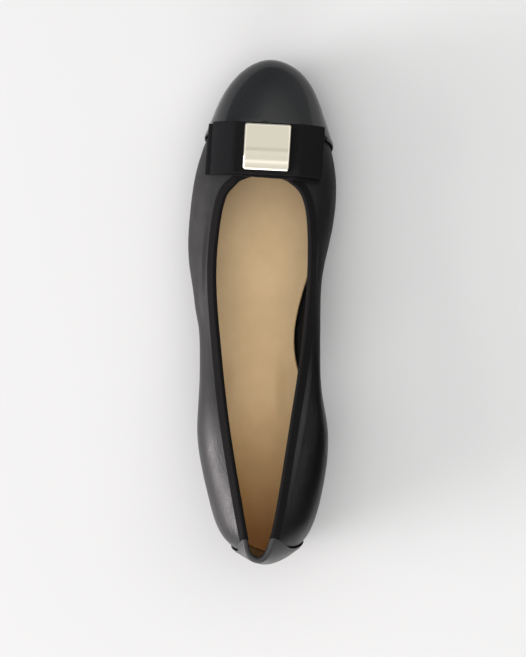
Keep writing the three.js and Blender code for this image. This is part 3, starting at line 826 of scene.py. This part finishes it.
cap_top = crossing(cap_behind, cap_end - 0.01, np.full(CAP_ROUNDS, 0.5))
cap_below = cap_end[:, None] + (cap_top - cap_end)[:, None] * np.linspace(0, 1, 64)
cap_skived = 0.35 * (1 - smooth((cap_below - cap_top[:, None]) / 3))
cap_points = off_skin(cap_rounds[:, None], cap_below, GAP + CAP - cap_skived)
cap = sheet("toe_cap_patent", cap_points[:, ::-1], CAP - 0.1, 0.25)
finished(cap, CAP_PATENT, "toe_cap", edge=CUT_EDGE_AND_SHADE)

# Heel patch: patent leather over the heel's back, folded in over the topline

PATCH_OUT = GAP + PATCH
PATCH_INSIDE = 0.5  # how far the fold stands off the wall inside the shoe
PATCH_GROOVE = 0.22
patch_shares = np.linspace(1, 0, 46)
patch_turns = np.concatenate([np.linspace(0, 0.42, 6)[1:], [0.47, 0.5, 0.53], np.linspace(0.58, 1, 6)[:-1]])
patch_legs = np.linspace(0, BINDING_LEG, 7)
# The patch thins towards its inner edge, and a fine groove runs along its fold.
patch_over = PATCH_OUT + (PATCH_INSIDE - PATCH_OUT) * smooth((patch_turns - 0.35) / 0.65)
patch_over = patch_over - PATCH_GROOVE * np.exp(-(((patch_turns - 0.5) / 0.03) ** 2))


def folded_in(r, below, out, turns, over, legs, inside):
    """Points of a piece that goes up the wall, over the lip and down inside, with distances off the wall.
    Rounds are [..., J], one for each place of its profile."""
    first = r.shape[-1] - len(turns) - len(legs)
    last = first + len(turns)
    parts = [
        off_skin(r[..., :first], below, out),
        over_lip(r[..., first:last], turns, over),
        off_skin(r[..., last:], legs, -WALL - inside),
    ]
    return np.concatenate(parts, -2)


def patch_profile(r):
    below = Ribs(r[..., : len(patch_shares)]).end * patch_shares
    return folded_in(r, below, PATCH_OUT, patch_turns, patch_over, patch_legs, PATCH_INSIDE)


def patch_ends(profile, count, clearance):
    """Rounds where each place of a profile meets the patch's edge, on the inner and the outer side."""

    def test(r):
        return ahead_of_patch_edge(profile(r)) - clearance

    inner = crossing(test, np.full(count, ROUND), np.full(count, ROUND + knot("heel inner")))
    outer = crossing(test, np.full(count, ROUND), np.full(count, knot("heel outer")))
    return inner, outer


patch_count = len(patch_shares) + len(patch_turns) + len(patch_legs)
patch_inner, patch_outer = patch_ends(patch_profile, patch_count, 0)
patch_spread = np.linspace(0, 1, 120)[:, None]
patch_points = patch_profile(patch_outer[None, :] + (patch_inner - patch_outer)[None, :] * patch_spread)
patch = sheet("heel_patch_patent", patch_points, PATCH_INSIDE - 0.05, 0.18)
# Past the fold, inside the shoe, the patch takes the near-black edge material as painted shade.
shaded_inside_from = len(patch_shares) + int((patch_turns < 0.51).sum())
for index, face in enumerate(patch.data.polygons):
    if index % (patch_points.shape[1] - 1) >= shaded_inside_from:
        face.material_index = 1
finished(patch, PATCH_PATENT, "heel_patch", edge=CUT_EDGE_AND_SHADE)

# Binding: ribbed tape folded over the topline

TAPE_OUT = GAP + BINDING
tape_legs = np.linspace(BINDING_LEG, 0, 6)
tape_turns = np.linspace(0, 1, 9)[1:-1]


def tape_profile(r):
    return folded_in(r, tape_legs, TAPE_OUT, tape_turns, TAPE_OUT, tape_legs[::-1], TAPE_OUT)


tape_count = 2 * len(tape_legs) + len(tape_turns)
tape_inner, tape_outer = patch_ends(tape_profile, tape_count, GAP)
tape_spread = np.linspace(0, 1, 420)[:, None]
tape_run = (tape_outer - tape_inner + ROUND)[None, :]
tape_points = tape_profile(tape_inner[None, :] - ROUND + tape_run * tape_spread)
finished(sheet("binding_tape", tape_points, BINDING, 0.12), TAPE_CLOTH, "topline_binding")

# Insole, outsole and heel


def outline(out, count=1200):
    """The feather edge moved out by a distance, in plan."""
    r = np.linspace(0, ROUND, count, endpoint=False)
    edge = Ribs(r).at(np.zeros(count))
    return edge + outward(r) * for_each(edge, out)


def paired(points, stations=150):
    """An outline's points in left and right pairs at equal places along the shoe, from the heel round."""
    back, front = points[:, 1].argmin(), points[:, 1].argmax()
    turned = np.roll(points, -back, 0)
    front = (front - back) % len(points)
    right = turned[: front + 1]
    left = np.concatenate([turned[front:], turned[:1]])[::-1]
    share = (1 - np.cos(np.linspace(0, math.pi, stations))) / 2
    y = points[:, 1].min() + np.ptp(points[:, 1]) * share
    right_x = np.interp(y, right[:, 1], right[:, 0])
    left_x = np.interp(y, left[:, 1], left[:, 0])
    middle = (right_x[[0, -1]] + left_x[[0, -1]]) / 2
    right_x[[0, -1]], left_x[[0, -1]] = middle, middle
    x = np.concatenate([right_x, left_x[-2:0:-1]])
    return np.column_stack([x, np.concatenate([y, y[-2:0:-1]])])


def slab(name, out, low, high, round_low, round_high, dish=0.0, reach=0.0):
    """A sole piece between two heights over the sole line, with rounded edges and a dished top."""
    edge = paired(outline(out + reach))
    core = (edge + np.roll(edge[::-1], 1, 0)) / 2
    core[:, 1] *= 0.985
    rings = []

    def ring(inset, height, share=None):
        plan = paired(outline(out + reach - inset)) if share is None else core + (edge - core) * share
        z = sole_line(plan[:, 1]) + height
        rings.append(np.column_stack([plan, z]))

    for share in (0.0, 0.35, 0.65, 0.85, 0.95):
        ring(0, low, share)
    quarter = np.linspace(0, math.pi / 2, 5)
    for angle in quarter:
        ring(round_low * (1 - math.sin(angle)), low + round_low * (1 - math.cos(angle)))
    for angle in quarter[::-1]:
        ring(round_high * (1 - math.sin(angle)), high - round_high * (1 - math.cos(angle)))
    for share in (0.95, 0.85, 0.72, 0.58, 0.42, 0.25, 0.1, 0.0):
        ring(0, high - dish * (1 - share**4), share)
    obj = mesh_object(name, rings, grid_faces(len(rings), len(edge), columns_closed=True))
    weld(obj, 0.02)
    return obj


insole_low = OUTSOLE + LASTING + 2 * GAP
insole_high = insole_low + INSOLE + 0.5
# The sock reaches a little farther out round the heel, and less far at the inner side of the waist.
feather_x, feather_y, _ = outline(0).T
at_waist = (feather_x > 0) * np.exp(-(((feather_y + 26) / 24) ** 2))
to_lining = 1.9 * smooth((-100 - feather_y) / 14) - 1.3 * at_waist
insole = slab(
    "insole_sock", -WALL - 2 * GAP, insole_low, insole_high, 0.3, 0.8, dish=0.7, reach=to_lining
)
finished(insole, INSOLE_LEATHER, "insole")
finished(slab("outsole_unit", SOLE_MARGIN, 0, OUTSOLE, 0.5, 0.6), SOLE_RUBBER, "outsole")


def heel_piece(name, low, high):
    """A slice of the heel, drawn in towards the floor and cut off at the breast, with soft edges."""
    count = 90
    rings = []
    for z in (low, high):
        full = outline(HEEL_MARGIN - HEEL_TAPER * (1 - z / HEEL_HEIGHT), 400)
        full = np.roll(full, len(full) // 2, 0)
        back = full[full[:, 1] < BREAST]
        run = lengths(back[:, :2], 0)
        ring = between(np.linspace(0, run[-1], count), run, back)
        ring[[0, -1], 1] = BREAST
        ring[:, 2] = z
        rings.append(ring)
    faces = [tuple(range(count))[::-1], tuple(range(count, 2 * count))]
    for j in range(count):
        k = (j + 1) % count
        faces.append((j, k, k + count, j + count))
    obj = mesh_object(name, np.concatenate(rings), faces)
    soften_edges(obj, 0.35, 3, 40)
    return obj


heel_block = heel_piece("heel_block_covered", HEEL_LIFT + GAP, HEEL_HEIGHT - GAP)
finished(heel_block, HEEL_LACQUER, "heel_block")
finished(heel_piece("heel_lift_rubber", 0, HEEL_LIFT), LIFT_RUBBER, "heel_lift")

# Bow: two ribbons, each a pair of flat loops, tipped as the vamp slopes, and the plate over their knot


def vamp_crest(y):
    """The cap's height on the line from the toe tip to the throat."""
    count = 4000
    line = Ribs(np.full(count, knot("toe tip")))
    run = line.at(np.linspace(0, line.end[0], count))
    over = run[run[:, 1].argmax() :]
    return float(np.interp(-y, -over[:, 1], over[:, 2])) + GAP + CAP


crest_front = vamp_crest(BOW_ALONG + RIBBON_WIDTH / 2)
crest_back = vamp_crest(BOW_ALONG - RIBBON_WIDTH / 2)
bow_slope = math.atan2(crest_front - crest_back, RIBBON_WIDTH)
bow_origin = np.array([BOW_ACROSS, BOW_ALONG, (crest_front + crest_back) / 2 + BOW_RISE])


def turn_about(axis, angle):
    c, s = math.cos(angle), math.sin(angle)
    if axis == "x":
        return np.array([[1, 0, 0], [0, c, -s], [0, s, c]])
    return np.array([[c, -s, 0], [s, c, 0], [0, 0, 1]])


BOW_FRAME = turn_about("z", math.radians(BOW_TURN)) @ turn_about("x", bow_slope)


def on_bow(points):
    return points @ BOW_FRAME.T + bow_origin


def ribbon_piece(name, span, opening, across=0.0, turn=0.0, back=0.0, rise=0.0, seed=0.0):
    """One ribbon as a flat ring: the lower ply, an end fold, the upper ply and the other end fold."""
    half = span / 2

    def from_knot(x, end):
        return np.clip((np.abs(x) - KNOT / 2) / (end - KNOT / 2), 0, 1)

    def droop(x):
        return -BOW_DROOP * from_knot(x + across, BOW_SPAN / 2) ** 1.6

    def swell(x):
        t = from_knot(x, half)
        closing = 1 - np.maximum(0, (t - 0.35) / 0.65) ** 4
        return opening * smooth(t / 0.35) * np.sqrt(np.maximum(0, closing))

    # Stations along the ribbon, closer together towards its ends
    reach = half - RIBBON * 0.75
    even = np.linspace(-1, 1, 120)
    xs = 0.45 * (reach * np.sin(math.pi / 2 * even)) + 0.55 * (reach * even)
    under = np.column_stack([xs, droop(xs) + RIBBON / 2])
    over = np.column_stack([xs, droop(xs) + RIBBON * 1.5 + swell(xs)])[::-1]

    def fold(low, high, way):
        middle, radius = (low + high) / 2, np.linalg.norm(high - low) / 2
        angles = np.linspace(-math.pi / 2, math.pi / 2, 9)[1:-1]
        out = way * (RIBBON * 0.35) * np.cos(angles)
        return np.column_stack([middle[0] + out, middle[1] + radius * np.sin(angles)])

    right_fold = fold(under[-1], over[0], 1)
    left_fold = fold(under[0], over[-1], -1)[::-1]
    path = np.concatenate([under, right_fold, over, left_fold])
    widths = np.linspace(-RIBBON_WIDTH / 2, RIBBON_WIDTH / 2, 27)
    points = np.zeros((len(path), len(widths), 3))
    points[..., 0] = path[:, None, 0] + across
    points[..., 1] = widths[None, :]
    points[..., 2] = path[:, None, 1]
    free = from_knot(path[:, 0], half)[:, None]
    sway_across = np.sin(widths / RIBBON_WIDTH * 3.1 + seed)[None, :]
    sway_along = np.sin(path[:, 0] / half * 4 + seed)[:, None]
    points[..., 2] += 0.12 * free * (sway_across * sway_along)
    points = points @ turn_about("z", math.radians(turn)).T
    points[..., 1] -= back
    points[..., 2] += rise
    placed = on_bow(points)
    run = lengths(placed, 0)
    run = np.concatenate([run, run[-1:] + RIBBON / 2])
    placed = np.concatenate([placed, placed[:1]])
    wide = np.broadcast_to(widths, run.shape)
    obj = mesh_object(name, placed, grid_faces(*run.shape), np.stack([run, wide], -1))
    weld(obj, 0.01)
    thicken(obj, RIBBON - 0.06, 0)
    soften_edges(obj, 0.15, 2, 60)
    return obj


upper_rise = 2 * RIBBON + LOWER_LOOP_OPEN + 2 * GAP
lower_ribbon = ribbon_piece(
    "bow_ribbon_lower",
    LOWER_BOW_SPAN,
    LOWER_LOOP_OPEN,
    across=LOWER_BOW_ACROSS,
    turn=LOWER_BOW_TURN,
    back=LOWER_BOW_BACK,
    seed=0.4,
)
finished(lower_ribbon, RIBBON_CLOTH, "bow_lower", edge=CUT_EDGE_AND_SHADE)
upper_ribbon = ribbon_piece("bow_ribbon_upper", BOW_SPAN, LOOP_OPEN, rise=upper_rise, seed=1.7)
finished(upper_ribbon, RIBBON_CLOTH, "bow_upper", edge=CUT_EDGE_AND_SHADE)


def plate_piece():
    """The plate: a rounded square, level in front and bent down at the back, with a bevelled border."""
    corner = 1.3
    border = 0.75
    border_drop = 0.45
    steps = 72
    line = np.linspace(-1, 1, steps + 1)
    line = np.sign(line) * (1 - (1 - np.abs(line)) ** 1.25)
    u, v = np.meshgrid(line, line, indexing="ij")
    half = PLATE / 2
    x, y = u * half, v * half
    # Points in a corner square are drawn in to its quarter circle.
    cx = np.maximum(0, np.abs(x) - (half - corner))
    cy = np.maximum(0, np.abs(y) - (half - corner))
    longest = np.maximum(cx, cy)
    diagonal = np.hypot(cx, cy)
    round_off = np.where(diagonal > 0, longest / np.maximum(diagonal, 1e-9), 1)
    side_edge = np.minimum(half - np.abs(x), half - np.abs(y))
    to_edge = np.where((cx > 0) & (cy > 0), corner - longest, side_edge)
    x = np.sign(x) * (np.abs(x) - cx * (1 - round_off))
    y = np.sign(y) * (np.abs(y) - cy * (1 - round_off))
    z = PLATE_THICKNESS - PLATE_BEND * (0.5 - y / PLATE) ** 3
    z = z - border_drop * (1 - np.clip(to_edge / border, 0, 1)) ** 1.3
    top = np.stack([x, y, z], -1)
    faces = [face[::-1] for face in grid_faces(*x.shape)]
    grid = np.arange(x.size).reshape(x.shape)
    rim = [*grid[:, 0], *grid[-1, 1:], *grid[-2::-1, -1], *grid[0, -2:0:-1]]
    flat = top.reshape(-1, 3)
    low = flat[rim]
    low[:, 2] = 0.0
    points = np.concatenate([flat, low])
    base = len(flat)
    count = len(rim)
    for k in range(count):
        m = (k + 1) % count
        faces.append((int(rim[k]), int(rim[m]), base + m, base + k))
    faces.append(tuple(base + k for k in range(count)))
    points[:, 1] += PLATE_AHEAD
    points[:, 2] += upper_rise + 2 * RIBBON + GAP
    obj = mesh_object("plate_metal", on_bow(points), faces)
    soften_edges(obj, 0.12, 2, 50)
    return obj


finished(plate_piece(), METAL, "plate")

# Stitches along the cap's and the patch's edges

STITCH_GAP = 0.5
# A stitch's girth and how far it stands off the surface, from end to end, as shares of its width
STITCH_GIRTH = np.array([0.25, 0.85, 1.0, 0.85, 0.25])
STITCH_STAND = np.array([-0.25, 0.05, 0.12, 0.05, -0.25])


def stitch_row(name, r, below, out, length, width):
    """Short threads lying in a row on a piece whose outer side stands off the last's surface."""
    path = off_skin(r, below, out)
    normals = skin(r, below)[1]
    run = lengths(path, 0)
    count = int(run[-1] // (length + STITCH_GAP))
    points, faces = [], []
    sides = 6
    girth = STITCH_GIRTH * width / 2
    stand = STITCH_STAND * width
    last = len(girth) - 1
    for k in range(count):
        middle = (k + 0.5) * run[-1] / count
        stations = middle + np.linspace(-length / 2, length / 2, len(girth))
        centre = between(stations, run, path)
        normal = unit(between(stations, run, normals))
        along = unit(np.gradient(centre, axis=0))
        beside = unit(np.cross(along, normal))
        first = len(points)
        for s in range(last + 1):
            for a in range(sides):
                angle = 2 * math.pi * a / sides
                offset = beside[s] * math.cos(angle) + normal[s] * math.sin(angle)
                points.append(centre[s] + normal[s] * stand[s] + offset * girth[s])
        for s in range(last):
            for a in range(sides):
                b = (a + 1) % sides
                i, j = first + s * sides, first + (s + 1) * sides
                faces.append((i + a, i + b, j + b, j + a))
        faces.append(tuple(first + a for a in range(sides)))
        faces.append(tuple(first + last * sides + a for a in range(sides))[::-1])
    finished(mesh_object(name, np.array(points), faces), THREAD)


for number, inset in enumerate((1.1, 2.3)):
    keep = cap_end - cap_top > inset + 1.5
    r = cap_rounds[keep]
    below = np.minimum(cap_top + inset, cap_end - 0.5)[keep]
    stitch_row(f"cap_stitches_{number + 1}", r, below, GAP + CAP, 1.7, 0.42)

outside = slice(2, len(patch_shares))
for side, ends_at, way in (("inner", patch_inner, -1), ("outer", patch_outer, 1)):
    r = ends_at[outside] + way * 1.6
    below = Ribs(r).end * patch_shares[outside]
    stitch_row(f"patch_stitches_{side}", r, below, PATCH_OUT, 1.6, 0.38)

# Floor, lights and camera


def floor_material():
    material, inputs, place = new_material("floor", gray(0.75), 0.6, specular=0.25)
    slow = noise_at(place, 900, 2)
    shade = colors(slow, ((0.3, gray(0.74)), (0.7, gray(0.77))))
    link(shade, inputs["Base Color"])
    return material


FLOOR_REACH = 15000
FLOOR_LEVEL = -0.05
floor_corners = np.array([(-1, -1, 0), (1, -1, 0), (1, 1, 0), (-1, 1, 0)]) * FLOOR_REACH
floor = mesh_object("floor", floor_corners + np.array([0, 0, FLOOR_LEVEL]), [(0, 1, 2, 3)])
floor.data.materials.append(floor_material())

world = bpy.data.worlds.new("studio")
bpy.context.scene.world = world
world.use_nodes = True
tree = world.node_tree
background = tree.nodes["Background"]
sky_way = axes(texture_place(tree, "Generated"))

# The room's light by height, from level (0) to straight up (1)
ROOM_TONES = (
    (0.0, (0.37, 0.37, 0.375)),
    (0.35, (0.45, 0.45, 0.455)),
    (0.6, gray(0.66)),
    (0.85, (0.90, 0.895, 0.88)),
    (0.95, (0.90, 0.895, 0.88)),
    (0.966, gray(0.60)),
)
# A bright strip and a dark band across the top of the room, from 0.3 behind it (0) to 0.3 ahead (1)
STRIP_TONES = (
    (0.34, gray(1.0)),
    (0.40, gray(1.12)),
    (0.43, gray(1.42)),
    (0.46, gray(1.42)),
    (0.49, gray(1.02)),
    (0.53, gray(0.97)),
    (0.64, gray(1.04)),
    (0.68, gray(0.74)),
    (0.715, (0.97, 0.97, 0.96)),
)
# Darker sides of the room: the share of X and of Y that lead to each, and its tones
ROOM_SIDES = (
    {"x": 0.9, "y": -0.7, "tones": ((0.66, gray(1.0)), (0.88, (0.07, 0.075, 0.08)))},
    {"x": -0.4, "y": 0.9, "tones": ((0.35, gray(1.0)), (0.8, (0.68, 0.70, 0.72)))},
)

sky = colors(sky_way["Z"], ROOM_TONES)
strip = colors(ranged(sky_way["Y"], 0, 1, -0.3, 0.3), STRIP_TONES)
sky = multiplied(sky, strip, ranged(sky_way["Z"], 0, 1, 0.9, 0.95))
for side in ROOM_SIDES:
    by_x = math_node("MULTIPLY", sky_way["X"], side["x"])
    by_y = math_node("MULTIPLY", sky_way["Y"], side["y"])
    sky = multiplied(sky, colors(math_node("ADD", by_x, by_y), side["tones"]))
link(sky, background.inputs["Color"])
background.inputs["Strength"].default_value = 1.4


# Soft lights. Columns: place, target, size across and up, all in metres; power in watts; color.
LIGHTS = {
    "key": ((-4.9, -1.2, 1.6), (0, -0.02, 0.03), (3.6, 2.4), 135, (1.0, 0.965, 0.97)),
    "low_key": ((-4.6, -1.3, 0.78), (0, -0.06, 0.03), (1.8, 1.0), 165, (1.0, 0.92, 0.94)),
    "rear": ((-0.27, -4.6, 2.0), (0, -0.1, 0.03), (3.6, 1.6), 60, gray(1.0)),
}


def soft_light(name, place, target, size, power, color):
    data = bpy.data.lights.new(name, "AREA")
    data.shape = "RECTANGLE"
    data.size, data.size_y = size
    data.energy = power
    data.color = color
    obj = bpy.data.objects.new(name, data)
    obj.location = place
    obj.rotation_euler = (Vector(target) - Vector(place)).to_track_quat("-Z", "Y").to_euler()
    bpy.context.scene.collection.objects.link(obj)


for name, light in LIGHTS.items():
    soft_light(name, *light)

# A low dark card beyond the inner side, seen only in reflections
FLAG_ASIDE = 72
FLAG_BACK = -130
FLAG_FRONT = 100
FLAG_HEIGHT = 52
flag_corners = [(FLAG_BACK, 0), (FLAG_FRONT, 0), (FLAG_FRONT, FLAG_HEIGHT), (FLAG_BACK, FLAG_HEIGHT)]
flag = mesh_object("flag", [(FLAG_ASIDE, y, z) for y, z in flag_corners], [(0, 1, 2, 3)])
flag.data.materials.append(new_material("flag_cloth", gray(0.01), 0.9)[0])
flag.visible_camera = False
flag.visible_diffuse = False
flag.visible_shadow = False

# The camera hangs to the shoe's inner side, turned to bring the shoe to the middle of the picture.
CAMERA_PLACE = (0.0429, -0.0084, 1.2)
CAMERA_ASIDE = 0.0424
camera_data = bpy.data.cameras.new("camera")
camera_data.sensor_width = 36
camera_data.lens = 130
camera_data.clip_start = 0.05
camera = bpy.data.objects.new("camera", camera_data)
camera.location = CAMERA_PLACE
camera.rotation_euler = (0, math.atan2(CAMERA_ASIDE, CAMERA_PLACE[2]), 0)
bpy.context.scene.collection.objects.link(camera)
bpy.context.scene.camera = camera
bpy.context.scene.view_settings.view_transform = "Standard"
